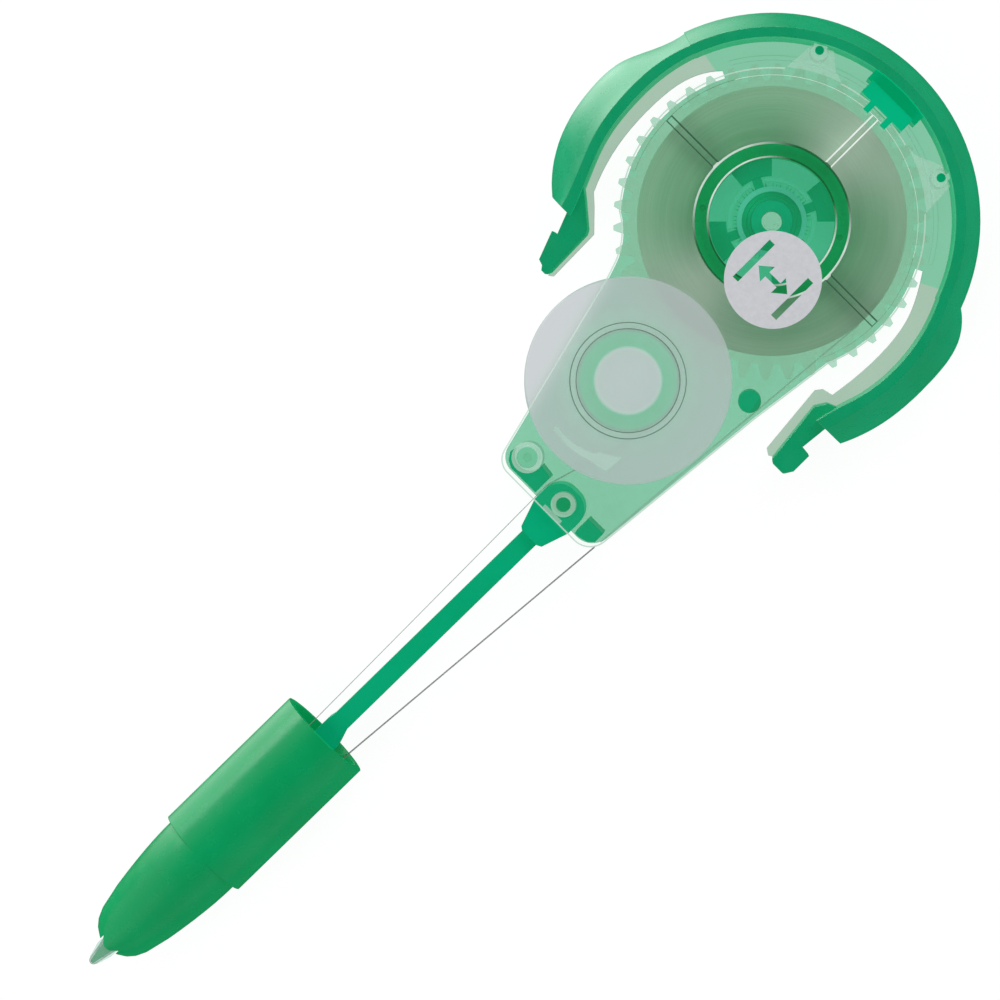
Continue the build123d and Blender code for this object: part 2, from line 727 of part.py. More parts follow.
# green blade whose rounded end presses the tape onto the paper
with BuildPart() as tip_blade:
    with BuildSketch(arm_plane(tape_mid_z - blade_width / 2)):
        with BuildLine():
            edge_a = Line((57.85, nose_axis_y - 0.7), (blade_bend_x, nose_axis_y - 0.62))
            edge_b = Line(edge_a @ 1, (tip_x - 0.35, nose_axis_y - 0.25))
            lip = ThreePointArc(edge_b @ 1, (tip_x - 0.1, nose_axis_y),
                                (tip_x - 0.35, nose_axis_y + 0.25))
            edge_c = Line(lip @ 1, (blade_bend_x, nose_axis_y + 0.62))
            edge_d = Line(edge_c @ 1, (57.85, nose_axis_y + 0.7))
            Line(edge_d @ 1, edge_a @ 0)
        make_face()
    extrude(amount=blade_width)
tip_blade.part.label = "tip_blade"


# ---------------------------------------------------------------------------
# Tape between the reels and the tip
# ---------------------------------------------------------------------------
def to_arm(point):
    local = arm_origin.to_local_coords(Vector(point[0], point[1], 0))
    return (local.X, local.Y)


feed_case_end = (33.6, feed_y(33.6))
tape_feed_inner = strip([feed_start, feed_case_end], at_height(tape_z0), tape_t, tape_width)
tape_feed_inner.label = "tape_feed_inner"

tip_high = (blade_bend_x + 0.2, nose_axis_y + 0.78)
tip_low = (blade_bend_x + 0.2, nose_axis_y - 0.78)
feed_free_start = to_arm((34.35, feed_y(34.35)))
return_free_start = to_arm((34.3, return_y0))
tape_feed_run = strip([feed_free_start, tip_high], arm_plane(tape_z0), tape_t, tape_width)
tape_feed_run.label = "tape_feed_run"
return_bend = (57.2, -1.45)
tape_return_run = strip([return_free_start, return_bend, tip_low], arm_plane(tape_z0), tape_t, tape_width)
tape_return_run.label = "tape_return_run"

with BuildPart() as tape_tip_loop:
    with BuildSketch(arm_plane(tape_z0)):
        with BuildLine() as loop_path:
            rise = Line((tip_high[0] + 0.1, tip_high[1]), (tip_x - 0.3, nose_axis_y + 0.36))
            turn = ThreePointArc(rise @ 1, (tip_x, nose_axis_y), (tip_x - 0.3, nose_axis_y - 0.36))
            Line(turn @ 1, (tip_low[0] + 0.1, tip_low[1]))
        trace(loop_path.line, tape_t)
    extrude(amount=tape_width)
tape_tip_loop.part.label = "tape_tip_loop"

with BuildPart() as tape_return_inner:
    with BuildSketch(at_height(tape_z0)):
        with BuildLine() as return_path:
            wrap_middle = polar(corner_path_r, (corner_leave_angle + 270) / 2)
            entry = Line((33.95, return_y0), (corner_x, return_y0))
            bend = ThreePointArc(entry @ 1, (corner_x + wrap_middle[0], corner_y + wrap_middle[1]),
                                 corner_leave)
            Line(bend @ 1, drum_touch)
        trace(return_path.line, tape_t)
    extrude(amount=tape_width)
tape_return_inner.part.label = "tape_return_inner"


# ---------------------------------------------------------------------------
# Export, one file per piece
# ---------------------------------------------------------------------------
os.makedirs("parts", exist_ok=True)
export_step(rear_case.part, "parts/rear_case.step")
export_step(front_cover.part, "parts/front_cover.step")
export_step(width_badge.part, "parts/width_badge.step")
export_step(supply_gear.part, "parts/supply_gear.step")
export_step(clutch_star.part, "parts/clutch_star.step")
export_step(clutch_washer.part, "parts/clutch_washer.step")
export_step(supply_core.part, "parts/supply_core.step")
export_step(tape_roll.part, "parts/tape_roll.step")
export_step(take_up_gear.part, "parts/take_up_gear.step")
export_step(take_up_disc.part, "parts/take_up_disc.step")
export_step(take_up_wrap.part, "parts/take_up_wrap.step")
export_step(arm.part, "parts/arm.step")
export_step(nose_cone.part, "parts/nose_cone.step")
export_step(tip_carrier.part, "parts/tip_carrier.step")
export_step(tip_blade.part, "parts/tip_blade.step")
export_step(tape_feed_inner, "parts/tape_feed_inner.step")
export_step(tape_feed_run, "parts/tape_feed_run.step")
export_step(tape_tip_loop.part, "parts/tape_tip_loop.step")
export_step(tape_return_run, "parts/tape_return_run.step")
export_step(tape_return_inner.part, "parts/tape_return_inner.step")
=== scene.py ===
import json
import math

import bpy
from mathutils import Matrix, Vector

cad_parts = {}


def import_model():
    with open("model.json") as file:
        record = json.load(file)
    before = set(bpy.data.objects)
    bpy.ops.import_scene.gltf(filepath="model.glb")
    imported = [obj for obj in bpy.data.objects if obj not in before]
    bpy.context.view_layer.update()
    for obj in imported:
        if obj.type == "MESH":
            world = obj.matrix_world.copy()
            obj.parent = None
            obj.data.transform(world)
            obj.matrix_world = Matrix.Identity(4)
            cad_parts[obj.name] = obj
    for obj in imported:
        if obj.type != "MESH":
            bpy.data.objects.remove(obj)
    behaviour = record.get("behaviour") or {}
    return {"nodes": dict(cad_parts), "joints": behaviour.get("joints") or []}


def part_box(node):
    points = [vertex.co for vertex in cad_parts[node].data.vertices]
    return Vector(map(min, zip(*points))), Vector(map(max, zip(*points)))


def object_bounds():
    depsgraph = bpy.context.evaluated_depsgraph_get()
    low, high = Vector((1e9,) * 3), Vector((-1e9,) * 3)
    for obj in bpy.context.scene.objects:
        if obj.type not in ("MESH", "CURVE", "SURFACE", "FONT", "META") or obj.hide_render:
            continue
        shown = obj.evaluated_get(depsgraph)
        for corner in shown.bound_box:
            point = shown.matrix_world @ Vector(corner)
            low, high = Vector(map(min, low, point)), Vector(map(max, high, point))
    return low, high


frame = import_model()
cad_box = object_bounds()

MM = 0.001
WHITE = (1, 1, 1, 1)
nodes = frame["nodes"]
joint_at = {joint["name"]: Vector(joint["pos_m"]) for joint in frame["joints"]}


# ---------------------------------------------------------------------------
# Places
# ---------------------------------------------------------------------------
supply_at = joint_at["supply_gear_spin"]
take_up_at = joint_at["take_up_spin"]
pivot_at = joint_at["arm_swing"]
corner_at = Vector((32.7 * MM, -0.53 * MM, 0))
tab_pins = [Vector((-14.73 * MM, -8.33 * MM, 0)), Vector((-14.34 * MM, 8.53 * MM, 0))]

plate_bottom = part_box("rear_case")[0].z
plate_top = plate_bottom + 1.2 * MM
rim_bottom = plate_bottom + 0.2 * MM
cover_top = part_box("width_badge")[0].z - 0.02 * MM
cover_bottom = cover_top - 1.0 * MM
pin_foot_top = cover_bottom - 0.04 * MM
core_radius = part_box("supply_core")[1].x
roll_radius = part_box("tape_roll")[1].x

# Margins for telling which level a face stands on
SLACK = 0.05 * MM
HAIR = 0.01 * MM

# Zones of the rear case, seen from above
PLATE_REEL_RADIUS = 15.2 * MM
WEB_MAX_X = -6.5 * MM
NARROW_MIN_X = 5.0 * MM
NARROW_MIN_Y = -9.5 * MM
SEAM_START = Vector((5.81 * MM, 13.69 * MM))
SEAM_BEND = Vector((14.53 * MM, 12.5 * MM))
SEAM_START_FALL = 0.1365
SEAM_BEND_FALL = 0.0983
CORNER_POST_RADIUS = 1.05 * MM
TAB_PIN_RADIUS = 1.0 * MM
LEDGE_RADII = (15.6 * MM, 16.3 * MM)
LEDGE_HEIGHT = 1.0 * MM
DRUM_POST_RADIUS = 4.2 * MM
TAIL_BLOCK_MAX_X = -13.5 * MM
TAIL_BLOCK_HALF_WIDTH = 5.2 * MM
TAIL_BLOCK_RADIUS = 17.75 * MM
INSIDE_RIM_RADIUS = 17.2 * MM
NECK_MIN_X = 20.0 * MM
SHOULDER_MIN_X = 9.0 * MM
SHOULDER_HALF_WIDTH = 11.3 * MM

# Zones of the cover, gear and disc, seen from above
PIVOT_SOCKET_RADIUS = 1.4 * MM
CORNER_SOCKET_RADIUS = 1.7 * MM
HUB_SOCKET_RADIUS = 1.1 * MM
SOCKET_WALLS = ((pivot_at, 0.72 * MM, 1.21 * MM), (corner_at, 1.02 * MM, 1.5 * MM))
CORE_RING_RADIUS = 7.9 * MM
THRUST_RING_RADIUS = 5.9 * MM
RIB_RADIUS = 14.35 * MM
BRIGHT_RIB_MAX_X = -7.0 * MM
TAB_RADII = (14.76 * MM, 20.0 * MM)
TAB_MIN_ANGLE = 2.2
GEAR_HUB_RADIUS = 3.0 * MM
GEAR_MIDDLE_RADIUS = 6.2 * MM
DISC_RADIUS = 10.0 * MM


# ---------------------------------------------------------------------------
# Shader helpers
# ---------------------------------------------------------------------------
def rgb(r, g, b):
    """Linear colour from 0-255 display values."""
    def linear(value):
        c = value / 255
        return c / 12.92 if c <= 0.04045 else ((c + 0.055) / 1.055) ** 2.4
    return (linear(r), linear(g), linear(b), 1.0)


class Graph:
    """Small helper that adds and links the shader nodes of a material or of the world."""

    def __init__(self, name, world=False):
        self.owner = (bpy.data.worlds if world else bpy.data.materials).new(name)
        self.owner.use_nodes = True
        self.tree = self.owner.node_tree
        self.tree.nodes.clear()
        self.out = self.tree.nodes.new("ShaderNodeOutputWorld" if world else "ShaderNodeOutputMaterial")

    def add(self, kind, inputs=None, **settings):
        node = self.tree.nodes.new(kind)
        for key, value in settings.items():
            setattr(node, key, value)
        for key, value in (inputs or {}).items():
            self.put(node.inputs[key], value)
        return node

    def put(self, socket, value):
        if isinstance(value, bpy.types.NodeSocket):
            self.tree.links.new(value, socket)
        else:
            socket.default_value = value

    def finish(self, surface):
        self.tree.links.new(surface, self.out.inputs["Surface"])
        return self.owner

    # numbers
    def maths(self, operation, a, b=None):
        node = self.add("ShaderNodeMath", operation=operation)
        self.put(node.inputs[0], a)
        if b is not None:
            self.put(node.inputs[1], b)
        return node.outputs[0]

    def span(self, value, low, high, to_low=0.0, to_high=1.0):
        """Maps low..high to to_low..to_high and holds it there."""
        node = self.add("ShaderNodeMapRange", {"Value": value, "From Min": low, "From Max": high,
                                               "To Min": to_low, "To Max": to_high})
        return node.outputs[0]

    def between(self, value, low, high):
        """One where the value lies between two limits, zero elsewhere."""
        return self.maths("MULTIPLY", self.maths("GREATER_THAN", value, low),
                          self.maths("LESS_THAN", value, high))

    # places and directions
    def place(self):
        return self.add("ShaderNodeTexCoord").outputs["Object"]

    def parts(self, vector):
        return self.add("ShaderNodeSeparateXYZ", {"Vector": vector}).outputs

    def geometry(self, output):
        return self.add("ShaderNodeNewGeometry").outputs[output]

    def facing(self, axis):
        """One where the surface looks along the axis, either way, and zero where it stands beside it."""
        return self.maths("ABSOLUTE", self.parts(self.geometry("Normal"))[axis])

    def around(self, axis_at):
        """Distance from an upright axis and angle about it, at the shaded point."""
        spot = self.parts(self.place())
        x = self.maths("SUBTRACT", spot[0], axis_at.x)
        y = self.maths("SUBTRACT", spot[1], axis_at.y)
        squares = self.maths("ADD", self.maths("MULTIPLY", x, x), self.maths("MULTIPLY", y, y))
        return self.maths("SQRT", squares), self.maths("ARCTAN2", y, x)

    # patterns
    def noise(self, scale, detail=3.0, vector=None, roughness=0.55):
        node = self.add("ShaderNodeTexNoise", {"Scale": scale, "Detail": detail, "Roughness": roughness})
        self.put(node.inputs["Vector"], vector or self.place())
        return node.outputs[0]

    def ramp(self, value, stops):
        """Grey level from (place, level) stops."""
        node = self.add("ShaderNodeValToRGB", {"Fac": value})
        ends = node.color_ramp.elements
        while len(ends) < len(stops):
            ends.new(0.5)
        for end, (at, level) in zip(ends, stops):
            end.position = at
            end.color = (level, level, level, 1)
        return node.outputs[0]

    def blend(self, factor, a, b):
        node = self.add("ShaderNodeMix", data_type="RGBA", blend_type="MIX")
        for socket, value in zip((node.inputs[0], node.inputs[6], node.inputs[7]), (factor, a, b)):
            self.put(socket, value)
        return node.outputs[2]

    def bump(self, height, strength, normal=None):
        node = self.add("ShaderNodeBump", {"Strength": strength, "Distance": 0.02 * MM, "Height": height})
        if normal is not None:
            self.put(node.inputs["Normal"], normal)
        return node.outputs[0]

    def rounded(self, radius):
        """Normal that looks like a small edge radius."""
        return self.add("ShaderNodeBevel", {"Radius": radius}, samples=4).outputs[0]

    # surfaces
    def mix(self, factor, a, b):
        node = self.add("ShaderNodeMixShader")
        for socket, value in zip(node.inputs, (factor, a, b)):
            self.put(socket, value)
        return node.outputs[0]

    def clear(self, tint=WHITE):
        return self.add("ShaderNodeBsdfTransparent", {"Color": tint}).outputs[0]

    def glowing(self, tone, strength=1.0):
        return self.add("ShaderNodeEmission", {"Color": tone, "Strength": strength}).outputs[0]

    def milky(self, tone, painted_glow, extra=None):
        """Matt skin mixed with a painted glow, which stands in for light through milky plastic lit from
        behind.
        """
        skin = self.add("ShaderNodeBsdfDiffuse", {"Color": tone, **(extra or {})})
        return self.mix(painted_glow, skin.outputs[0], self.glowing(tone))

    def polished(self, body, ior, gloss, rough, extra=None):
        """Mirror film over a surface, stronger towards grazing angles."""
        shine = self.add("ShaderNodeBsdfGlossy", {"Roughness": rough, "Color": WHITE, **(extra or {})})
        mirror = self.maths("MULTIPLY", self.add("ShaderNodeFresnel", {"IOR": ior}).outputs[0], gloss)
        return self.mix(mirror, body, shine.outputs[0])

    def dense(self, tone, painted_glow, extra):
        """Solid plastic or paper with a painted glow of its own."""
        return self.add("ShaderNodeBsdfPrincipled", {"Base Color": tone, "Emission Color": tone,
                                                     "Emission Strength": painted_glow, **extra}).outputs[0]

    def front_only(self, surface):
        """One tinted layer per wall: the far side of a solid is left clear."""
        return self.mix(self.geometry("Backfacing"), surface, self.clear())


# ---------------------------------------------------------------------------
# Kinds of material
# ---------------------------------------------------------------------------
def moulded(name, base, deep, rough=0.3, shine=0.35, glow=0.12, side=0.0):
    """Dense moulded plastic with flow marks, a fine skin, rounded edges and a painted glow.

    The painted glow is glow on faces that look up or down and glow + side on upright walls, so upright
    walls are painted lighter than flat faces.
    """
    g = Graph(name)
    # painted glow, stronger on upright walls than on flat faces
    painted_glow = g.span(g.facing(2), 0.0, 0.9, glow + side, glow)
    flow_marks = g.span(g.noise(160.0, 4.0), 0.35, 0.65)
    skin = g.bump(g.noise(2600.0, 2.0), 0.03, g.rounded(0.12 * MM))
    roughness = g.span(g.noise(700.0), 0.3, 0.7, rough - 0.04, rough + 0.05)
    return g.finish(g.dense(g.blend(flow_marks, base, deep), painted_glow, {
        "Roughness": roughness, "Normal": skin, "Specular IOR Level": shine}))


def sheet(name, milk, tint, share, rough=0.3, gloss=0.6, whole=True, deep=None):
    """Translucent moulding seen as one layer: part milky colour, part tinted view through."""
    g = Graph(name)
    part = g.span(g.noise(170.0, 4.0), 0.3, 0.7, share * 0.85, share * 1.15)
    if deep:
        # the middle of the gear is thicker and deeper in colour
        within = g.maths("LESS_THAN", g.around(supply_at)[0], GEAR_MIDDLE_RADIUS)
        milk = g.blend(within, milk, deep)
        tint = g.blend(within, tint, deep)
        part = g.maths("ADD", part, g.maths("MULTIPLY", within, 0.4))
    if not whole:
        # the cover is thicker, so milkier, at its tabs and where the sockets stand under it
        reach, angle = g.around(supply_at)
        behind = g.maths("GREATER_THAN", g.maths("ABSOLUTE", angle), TAB_MIN_ANGLE)
        tabs = g.maths("MULTIPLY", g.between(reach, *TAB_RADII), behind)
        part = g.maths("ADD", part, g.maths("MULTIPLY", tabs, 0.38))
        for socket_at, inner, outer in SOCKET_WALLS:
            wall = g.between(g.around(socket_at)[0], inner, outer)
            part = g.maths("ADD", part, g.maths("MULTIPLY", wall, 0.5))
    skin = {"Normal": g.bump(g.noise(2400.0, 2.0), 0.03, g.rounded(0.08 * MM))}
    # the milky part carries a painted glow of strength 0.6
    seen = g.mix(part, g.clear(tint), g.milky(milk, 0.6, skin))
    return g.finish(g.front_only(g.polished(seen, 1.45, gloss, rough, skin)))


def side_lit(name, dark, pale, tint, dark_share, pale_share):
    """Leaning wall of a clear moulding: pale where it faces the side lights, dark elsewhere."""
    g = Graph(name)
    lit = g.span(g.facing(1), 0.45, 0.9)
    share = g.span(lit, 0.0, 1.0, dark_share, pale_share)
    speck = g.span(g.noise(900.0), 0.2, 0.8, 0.8, 1.2)
    # the pale and dark tones are painted light and shade, and the wall carries a painted glow of strength
    # 0.75
    wall = g.milky(g.blend(lit, dark, pale), 0.75)
    return g.finish(g.mix(g.maths("MULTIPLY", share, speck), g.clear(tint), wall))


def wound_tape(name):
    """Edge of a wound roll: fine turns and broad bands, deep beside the core, a painted sheen along the X
    axis and a painted side light that leaves the -Y side greener and the +Y side greyer.
    """
    g = Graph(name)
    reach, angle = g.around(supply_at)

    def rings(per_metre, drift, detail, roughness=0.55):
        spot = g.add("ShaderNodeCombineXYZ", {"X": g.maths("MULTIPLY", reach, per_metre),
                                              "Y": g.maths("MULTIPLY", angle, drift)})
        return g.noise(1.0, detail, vector=spot.outputs[0], roughness=roughness)

    turns = rings(9000.0, 0.35, 2.0, roughness=0.7)
    bands = rings(700.0, 0.6, 3.0)
    # painted side light: greener towards -Y, greyer towards +Y
    outer = g.blend(g.span(g.maths("SINE", angle), -1.0, 1.0), rgb(130, 182, 146), rgb(122, 156, 130))
    tone = g.blend(g.span(reach, core_radius, roll_radius - 0.6 * MM), rgb(70, 136, 94), outer)
    # painted sheen: a pale lobe along the X axis, set in the roll's own frame so it turns with the roll
    along = g.maths("ABSOLUTE", g.maths("COSINE", g.maths("ADD", angle, 0.05)))
    tone = g.blend(g.maths("POWER", along, 9.0), tone, rgb(160, 178, 162))
    tone = g.blend(g.span(bands, 0.3, 0.7, 0.0, 0.22), tone, rgb(158, 184, 160))
    tone = g.blend(g.span(turns, 0.25, 0.75, 0.0, 0.36), tone, rgb(92, 132, 102))
    # painted glow of strength 0.37
    return g.finish(g.dense(tone, 0.37, {"Roughness": 0.4, "Normal": g.bump(turns, 0.2),
                                         "Anisotropic": 0.6, "Specular IOR Level": 0.35}))


def printed_label(name):
    """Matt coated label stock with faint fibre."""
    g = Graph(name)
    fibre = g.noise(2400.0, 4.0)
    tone = g.blend(g.span(fibre, 0.3, 0.7), rgb(207, 208, 213), rgb(198, 200, 204))
    # painted glow of strength 0.32
    return g.finish(g.dense(tone, 0.32, {"Roughness": 0.5, "Normal": g.bump(fibre, 0.05),
                                         "Specular IOR Level": 0.2}))


def tape_film(name, colour, edge_share, side_share):
    """Thin plastic tape: its cut edge reads as a line, its face is nearly clear."""
    g = Graph(name)
    on_edge = g.span(g.facing(2), 0.4, 0.6, side_share, edge_share)
    tone = g.blend(g.span(g.noise(800.0, 3.0), 0.3, 0.7, 0.0, 0.35), colour, rgb(214, 214, 216))
    body = g.add("ShaderNodeBsdfPrincipled", {"Base Color": tone, "Roughness": 0.25})
    return g.finish(g.mix(on_edge, g.clear(rgb(251, 251, 251)), body.outputs[0]))


def frosted(name):
    """Milky satin disc that blurs what lies deeper, clearer in a ring where it touches the drum."""
    g = Graph(name)
    seen_through = rgb(212, 214, 216)
    tone = g.blend(g.noise(110.0, 4.0), rgb(216, 222, 223), rgb(208, 216, 219))
    skin = {"Normal": g.bump(g.noise(3200.0, 2.0), 0.05)}
    blurred = g.add("ShaderNodeBsdfRefraction", {"Color": seen_through, "Roughness": 0.62, "IOR": 1.45})
    path = g.add("ShaderNodeLightPath").outputs
    indirect = g.maths("MAXIMUM", path["Is Shadow Ray"], path["Is Diffuse Ray"])
    passed = g.mix(indirect, blurred.outputs[0], g.clear(seen_through))
    milk_share = g.ramp(g.span(g.around(take_up_at)[0], 0.0, DISC_RADIUS),
                        [(0.0, 0.84), (0.31, 0.8), (0.34, 0.16), (0.46, 0.22), (0.51, 0.56), (1.0, 0.58)])
    # the milky part carries a painted glow of strength 0.7
    seen = g.mix(milk_share, passed, g.milky(tone, 0.7, skin))
    return g.finish(g.front_only(g.polished(seen, 1.4, 0.6, 0.35)))


# ---------------------------------------------------------------------------
# Materials
# ---------------------------------------------------------------------------
# Each glow below is painted glow, and side adds painted glow on upright walls.
rim_green = moulded("rim_green", rgb(0, 156, 104), rgb(0, 150, 97), rough=0.28, shine=1.0, glow=0.3,
                    side=0.4)
arm_green = moulded("arm_green", rgb(0, 166, 116), rgb(0, 161, 110), rough=0.36, shine=0.2, glow=0.34,
                    side=0.2)
nose_green = moulded("nose_green", rgb(0, 157, 92), rgb(0, 151, 86), rough=0.25, shine=0.5, glow=0.3,
                     side=0.27)
# core and hub carry more painted glow, against the shade of their recess under the cover
core_green = moulded("core_green", rgb(2, 142, 78), rgb(0, 132, 70), rough=0.26, shine=0.15, glow=0.42)
hub_green = moulded("hub_green", rgb(4, 158, 106), rgb(2, 150, 98), shine=0.15, glow=0.45)
post_green = moulded("post_green", rgb(0, 162, 112), rgb(0, 156, 104), shine=0.15, glow=0.34)
# copy of post_green with more painted glow, lifting the block out of the shade beside the rim
block_glow_green = moulded("block_glow_green", rgb(0, 166, 118), rgb(0, 160, 110), shine=0.15, glow=0.55)
corner_pale = moulded("corner_pale", rgb(150, 208, 184), rgb(142, 202, 176), rough=0.35, glow=0.3)
washer_pale = moulded("washer_pale", rgb(72, 178, 146), rgb(64, 170, 138), rough=0.4, shine=0.2, glow=0.55)
drum_pale = moulded("drum_pale", rgb(134, 212, 172), rgb(124, 206, 164), rough=0.35, shine=0.2, glow=0.75)

plate_green = sheet("plate_green", rgb(150, 210, 180), rgb(140, 210, 178), 0.5)
flange_pale = sheet("flange_pale", rgb(180, 204, 186), rgb(186, 212, 194), 0.5)
gear_pale = sheet("gear_pale", rgb(196, 230, 210), rgb(190, 230, 212), 0.45, deep=rgb(84, 206, 162))
carrier_clear = sheet("carrier_clear", rgb(206, 234, 222), rgb(214, 240, 228), 0.3, rough=0.1, gloss=1.0)
cover_clear = sheet("cover_clear", rgb(200, 232, 216), rgb(252, 255, 253), 0.015, rough=0.12, gloss=0.3,
                    whole=False)
# painted pale highlight on the cover's upright outline walls
cover_edge = sheet("cover_edge", rgb(222, 242, 231), rgb(196, 226, 210), 0.72, rough=0.1)
cover_mark = sheet("cover_mark", rgb(206, 234, 222), rgb(228, 244, 236), 0.5)
socket_pale = sheet("socket_pale", rgb(168, 222, 198), rgb(190, 232, 212), 0.75, rough=0.15)

# Painted refraction lines on the leaning walls of the cover's ribs and rings: painted dark lines on most
# ribs and on the thrust ring, painted bright glints on the ribs towards -X, and both on the core ring.
rib_painted_dark_line = side_lit("rib_painted_dark_line", rgb(58, 92, 74), rgb(70, 104, 84), rgb(186, 204, 190), 0.75, 0.7)
rib_painted_glint = side_lit("rib_painted_glint", rgb(244, 249, 246), rgb(250, 252, 250), rgb(236, 244, 238), 0.9, 0.95)
ring_painted_glint_and_shade = side_lit("ring_painted_glint_and_shade", rgb(20, 84, 56), rgb(240, 250, 244), rgb(140, 190, 160), 0.35, 0.8)
thrust_painted_dark_line = side_lit("thrust_painted_dark_line", rgb(92, 118, 108), rgb(96, 120, 112), rgb(196, 206, 202), 0.7, 0.6)

disc_frosted = frosted("disc_frosted")
roll_tape = wound_tape("roll_tape")
label_stock = printed_label("label_stock")
coated_film = tape_film("coated_film", rgb(142, 139, 144), 0.85, 0.14)
inner_film = tape_film("inner_film", rgb(168, 204, 186), 0.5, 0.04)
bare_film = tape_film("bare_film", rgb(176, 190, 184), 0.6, 0.06)


# ---------------------------------------------------------------------------
# Which piece wears what
# ---------------------------------------------------------------------------
def wear(node, *materials):
    mesh = nodes[node].data
    mesh.materials.clear()
    for material in materials:
        mesh.materials.append(material)


def paint(node, choose, *materials):
    """Gives each face the material that choose returns for its middle, lowest and highest Z, and normal."""
    wear(node, *materials)
    mesh = nodes[node].data
    for face in mesh.polygons:
        spots = [mesh.vertices[i].co for i in face.vertices]
        mid = sum(spots, Vector()) / len(spots)
        heights = [spot.z for spot in spots]
        face.material_index = materials.index(choose(mid, min(heights), max(heights), face.normal))


def near(spot, axis_at, reach):
    return (spot.xy - axis_at.xy).length < reach


def seam_y(x):
    """Y of the line where the plate ends and the pale flange beside the +Y wing begins."""
    if x > SEAM_BEND.x:
        return SEAM_BEND.y - (x - SEAM_BEND.x) * SEAM_BEND_FALL
    return SEAM_START.y - (x - SEAM_START.x) * SEAM_START_FALL


def choose_rear_case(mid, low, high, normal):
    """Plate and flange stay pale; rim, wings, hooks, posts and walls are deep green."""
    reach = mid.xy.length
    rim_foot = abs(low - rim_bottom) < SLACK and high < rim_bottom + SLACK
    if high < plate_top + SLACK and not rim_foot:
        in_narrow_part = mid.x > NARROW_MIN_X and NARROW_MIN_Y < mid.y < seam_y(mid.x)
        in_plate = mid.x < WEB_MAX_X or reach < PLATE_REEL_RADIUS or in_narrow_part
        return plate_green if in_plate else flange_pale
    if near(mid, corner_at, CORNER_POST_RADIUS):
        return corner_pale
    if any(near(mid, pin, TAB_PIN_RADIUS) for pin in tab_pins) and high < pin_foot_top:
        return plate_green
    if high < plate_top + LEDGE_HEIGHT + SLACK and LEDGE_RADII[0] < reach < LEDGE_RADII[1]:
        return plate_green
    if near(mid, take_up_at, DRUM_POST_RADIUS):
        return plate_green
    # the tail block takes the copy with extra painted glow against its shade
    if mid.x < TAIL_BLOCK_MAX_X and abs(mid.y) < TAIL_BLOCK_HALF_WIDTH and reach < TAIL_BLOCK_RADIUS:
        return block_glow_green
    on_shoulder = mid.x > SHOULDER_MIN_X and abs(mid.y) < SHOULDER_HALF_WIDTH
    if reach < INSIDE_RIM_RADIUS or mid.x > NECK_MIN_X or on_shoulder:
        return post_green
    return rim_green


def choose_cover(mid, low, high, normal):
    """Clear plate, a painted pale highlight along its outline, painted dark lines and bright glints on the
    leaning walls of ribs and rings.
    """
    below = high < cover_bottom + HAIR or low < cover_bottom - HAIR
    if low > cover_top + HAIR or below and near(mid, supply_at, HUB_SOCKET_RADIUS):
        return cover_mark
    if below and (near(mid, pivot_at, PIVOT_SOCKET_RADIUS) or near(mid, corner_at, CORNER_SOCKET_RADIUS)):
        return socket_pale
    if abs(normal.z) > 0.98:
        return cover_clear
    if below and near(mid, supply_at, CORE_RING_RADIUS):
        return ring_painted_glint_and_shade
    if below and near(mid, take_up_at, THRUST_RING_RADIUS):
        return thrust_painted_dark_line
    if below and near(mid, supply_at, RIB_RADIUS):
        return rib_painted_glint if mid.x < BRIGHT_RIB_MAX_X else rib_painted_dark_line
    return cover_edge


def choose_gear(mid, low, high, normal):
    """Pale gear with a deeper hub."""
    return hub_green if near(mid, supply_at, GEAR_HUB_RADIUS) else gear_pale


for mesh_node in nodes.values():
    mesh_node.data.shade_smooth()
    mesh_node.data.set_sharp_from_angle(angle=math.radians(32.0))

paint("rear_case", choose_rear_case, rim_green, plate_green, flange_pale, post_green, corner_pale,
      block_glow_green)
paint("front_cover", choose_cover, cover_clear, cover_edge, rib_painted_dark_line, cover_mark, rib_painted_glint, ring_painted_glint_and_shade,
      thrust_painted_dark_line, socket_pale)
paint("supply_gear", choose_gear, gear_pale, hub_green)
PLAIN = {
    "width_badge": label_stock, "clutch_star": hub_green, "clutch_washer": washer_pale,
    "supply_core": core_green, "tape_roll": roll_tape, "take_up_gear": drum_pale,
    "take_up_disc": disc_frosted, "take_up_wrap": bare_film, "arm": arm_green, "nose_cone": nose_green,
    "tip_carrier": carrier_clear, "tip_blade": post_green, "tape_feed_inner": inner_film,
    "tape_feed_run": coated_film, "tape_tip_loop": coated_film, "tape_return_run": bare_film,
    "tape_return_inner": bare_film,
}
for node_name, node_material in PLAIN.items():
    wear(node_name, node_material)


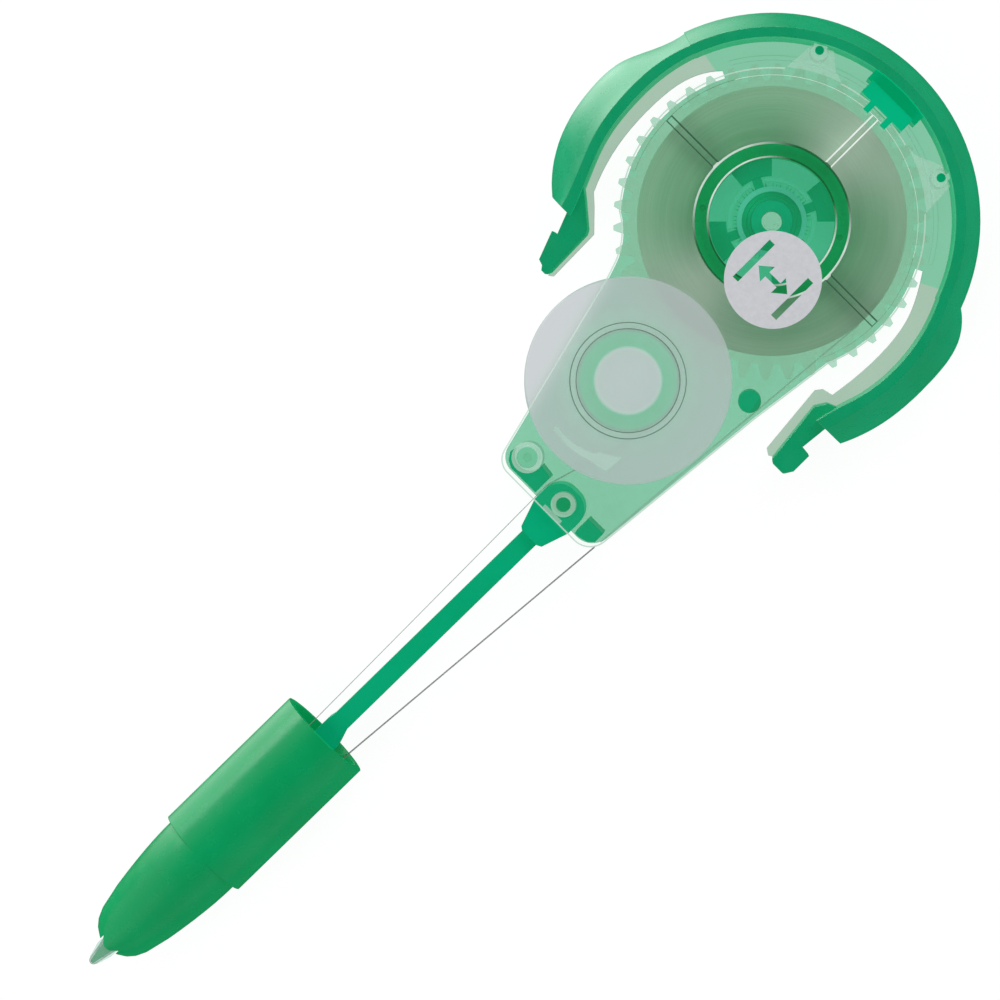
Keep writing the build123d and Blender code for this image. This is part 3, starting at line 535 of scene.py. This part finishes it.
# ---------------------------------------------------------------------------
# Floor, light and camera
# ---------------------------------------------------------------------------
def floor():
    """White ground, even for the camera and for clear parts, and a soft bright band for what mirrors it."""
    reach = 3.0
    gap = 0.05 * MM
    mesh = bpy.data.meshes.new("floor")
    mesh.from_pydata([(-reach, -reach, 0), (reach, -reach, 0), (reach, reach, 0), (-reach, reach, 0)], [],
                     [(0, 1, 2, 3)])
    g = Graph("floor_white")
    path = g.add("ShaderNodeLightPath").outputs

    # seen straight on or through a clear part
    grain = g.span(g.noise(40.0), 0.0, 1.0, 0.99, 1.01)
    paper = g.add("ShaderNodeBsdfDiffuse", {"Color": (0.14, 0.14, 0.14, 1)})
    seen = g.add("ShaderNodeAddShader")
    g.put(seen.inputs[0], paper.outputs[0])
    g.put(seen.inputs[1], g.glowing(WHITE, g.maths("MULTIPLY", grain, 0.93)))

    # seen in a mirroring wall: a band by bearing that fades on near-upright walls
    back = g.parts(g.geometry("Incoming"))
    bearing = g.maths("ARCTAN2", back[1], back[0])
    sweep = g.maths("MULTIPLY", g.span(bearing, 0.75, 1.45, 0.05, 2.7),
                    g.span(bearing, 1.6, 1.92, 1.0, 0.03))
    level = g.maths("SUBTRACT", 1.0, g.maths("MULTIPLY", back[2], back[2]))
    band = g.maths("MULTIPLY", sweep, g.span(level, 0.0, 0.5, 0.1, 1.0))
    mirrored = g.maths("MULTIPLY", band, path["Is Glossy Ray"])
    scattered = g.maths("MULTIPLY", path["Is Diffuse Ray"], 0.6)
    bounce = g.glowing(WHITE, g.maths("ADD", mirrored, scattered))

    direct = g.maths("MAXIMUM", path["Is Camera Ray"], path["Is Transmission Ray"])
    mesh.materials.append(g.finish(g.mix(direct, bounce, seen.outputs[0])))
    ground = bpy.data.objects.new("floor", mesh)
    ground.location = (0, 0, cad_box[0][2] - gap)
    bpy.context.scene.collection.objects.link(ground)


def world():
    """Soft white room, darker overhead so that flat faces keep their colour, and darker towards +Y."""
    g = Graph("studio", world=True)
    way = g.parts(g.add("ShaderNodeTexCoord").outputs["Generated"])
    by_height = g.span(way[2], 0.72, 0.95, 0.46, 0.06)
    by_side = g.span(way[1], -0.3, 0.5, 1.0, 0.4)
    strength = g.maths("MULTIPLY", by_height, by_side)
    sky = g.add("ShaderNodeBackground", {"Color": WHITE, "Strength": strength})
    bpy.context.scene.world = g.finish(sky.outputs[0])


def softbox(name, place, width, height, radiance, mirrored_only=False):
    """Rectangular light aimed at the case: it shows only in glossy walls, or only on matt ones."""
    data = bpy.data.lights.new(name, "AREA")
    data.shape = "RECTANGLE"
    data.size = width
    data.size_y = height
    data.energy = radiance * math.pi * width * height
    lamp = bpy.data.objects.new(name, data)
    lamp.location = place
    aim = Vector((0.035, 0.0, 0.0))
    lamp.rotation_euler = (aim - lamp.location).to_track_quat("-Z", "Y").to_euler()
    lamp.visible_diffuse = not mirrored_only
    lamp.visible_glossy = mirrored_only
    bpy.context.scene.collection.objects.link(lamp)


def camera():
    """Looks down at the cover, turned so that the arm points to the lower left."""
    aim = Vector((37.62 * MM, 0.50 * MM, 6.8 * MM))
    distance = 0.52
    view_width = 96.9 * MM
    lean_x = math.radians(3.4)
    lean_y = math.radians(-0.3)
    back = Vector((-math.sin(lean_x), -math.sin(lean_y), 1.0)).normalized()
    up = Vector((-1, -1, 0)).normalized()
    right = up.cross(back).normalized()
    up = back.cross(right).normalized()
    data = bpy.data.cameras.new("camera")
    data.sensor_width = 36.0
    data.lens = data.sensor_width * distance / view_width
    data.clip_start = 0.01
    view = bpy.data.objects.new("camera", data)
    turn = Matrix((right, up, back)).transposed().to_4x4()
    view.matrix_world = Matrix.Translation(aim + back * distance) @ turn
    bpy.context.scene.collection.objects.link(view)
    bpy.context.scene.camera = view


floor()
world()
softbox("side_highlight", (-0.13, -0.50, 0.12), 0.56, 0.26, 5.5, mirrored_only=True)
softbox("side_minus_y", (0.02, -0.50, 0.16), 0.9, 0.34, 0.9)
softbox("side_plus_y", (0.05, 0.50, 0.12), 0.7, 0.2, 0.9)
softbox("rear_top", (-0.38, -0.1, 0.5), 0.4, 0.4, 1.9)
softbox("front_top", (0.46, 0.0, 0.5), 0.4, 0.4, 1.8)
camera()

scene = bpy.context.scene
scene.view_settings.view_transform = "Standard"
scene.cycles.use_denoising = True
scene.cycles.max_bounces = 16
scene.cycles.transmission_bounces = 12
scene.cycles.transparent_max_bounces = 32
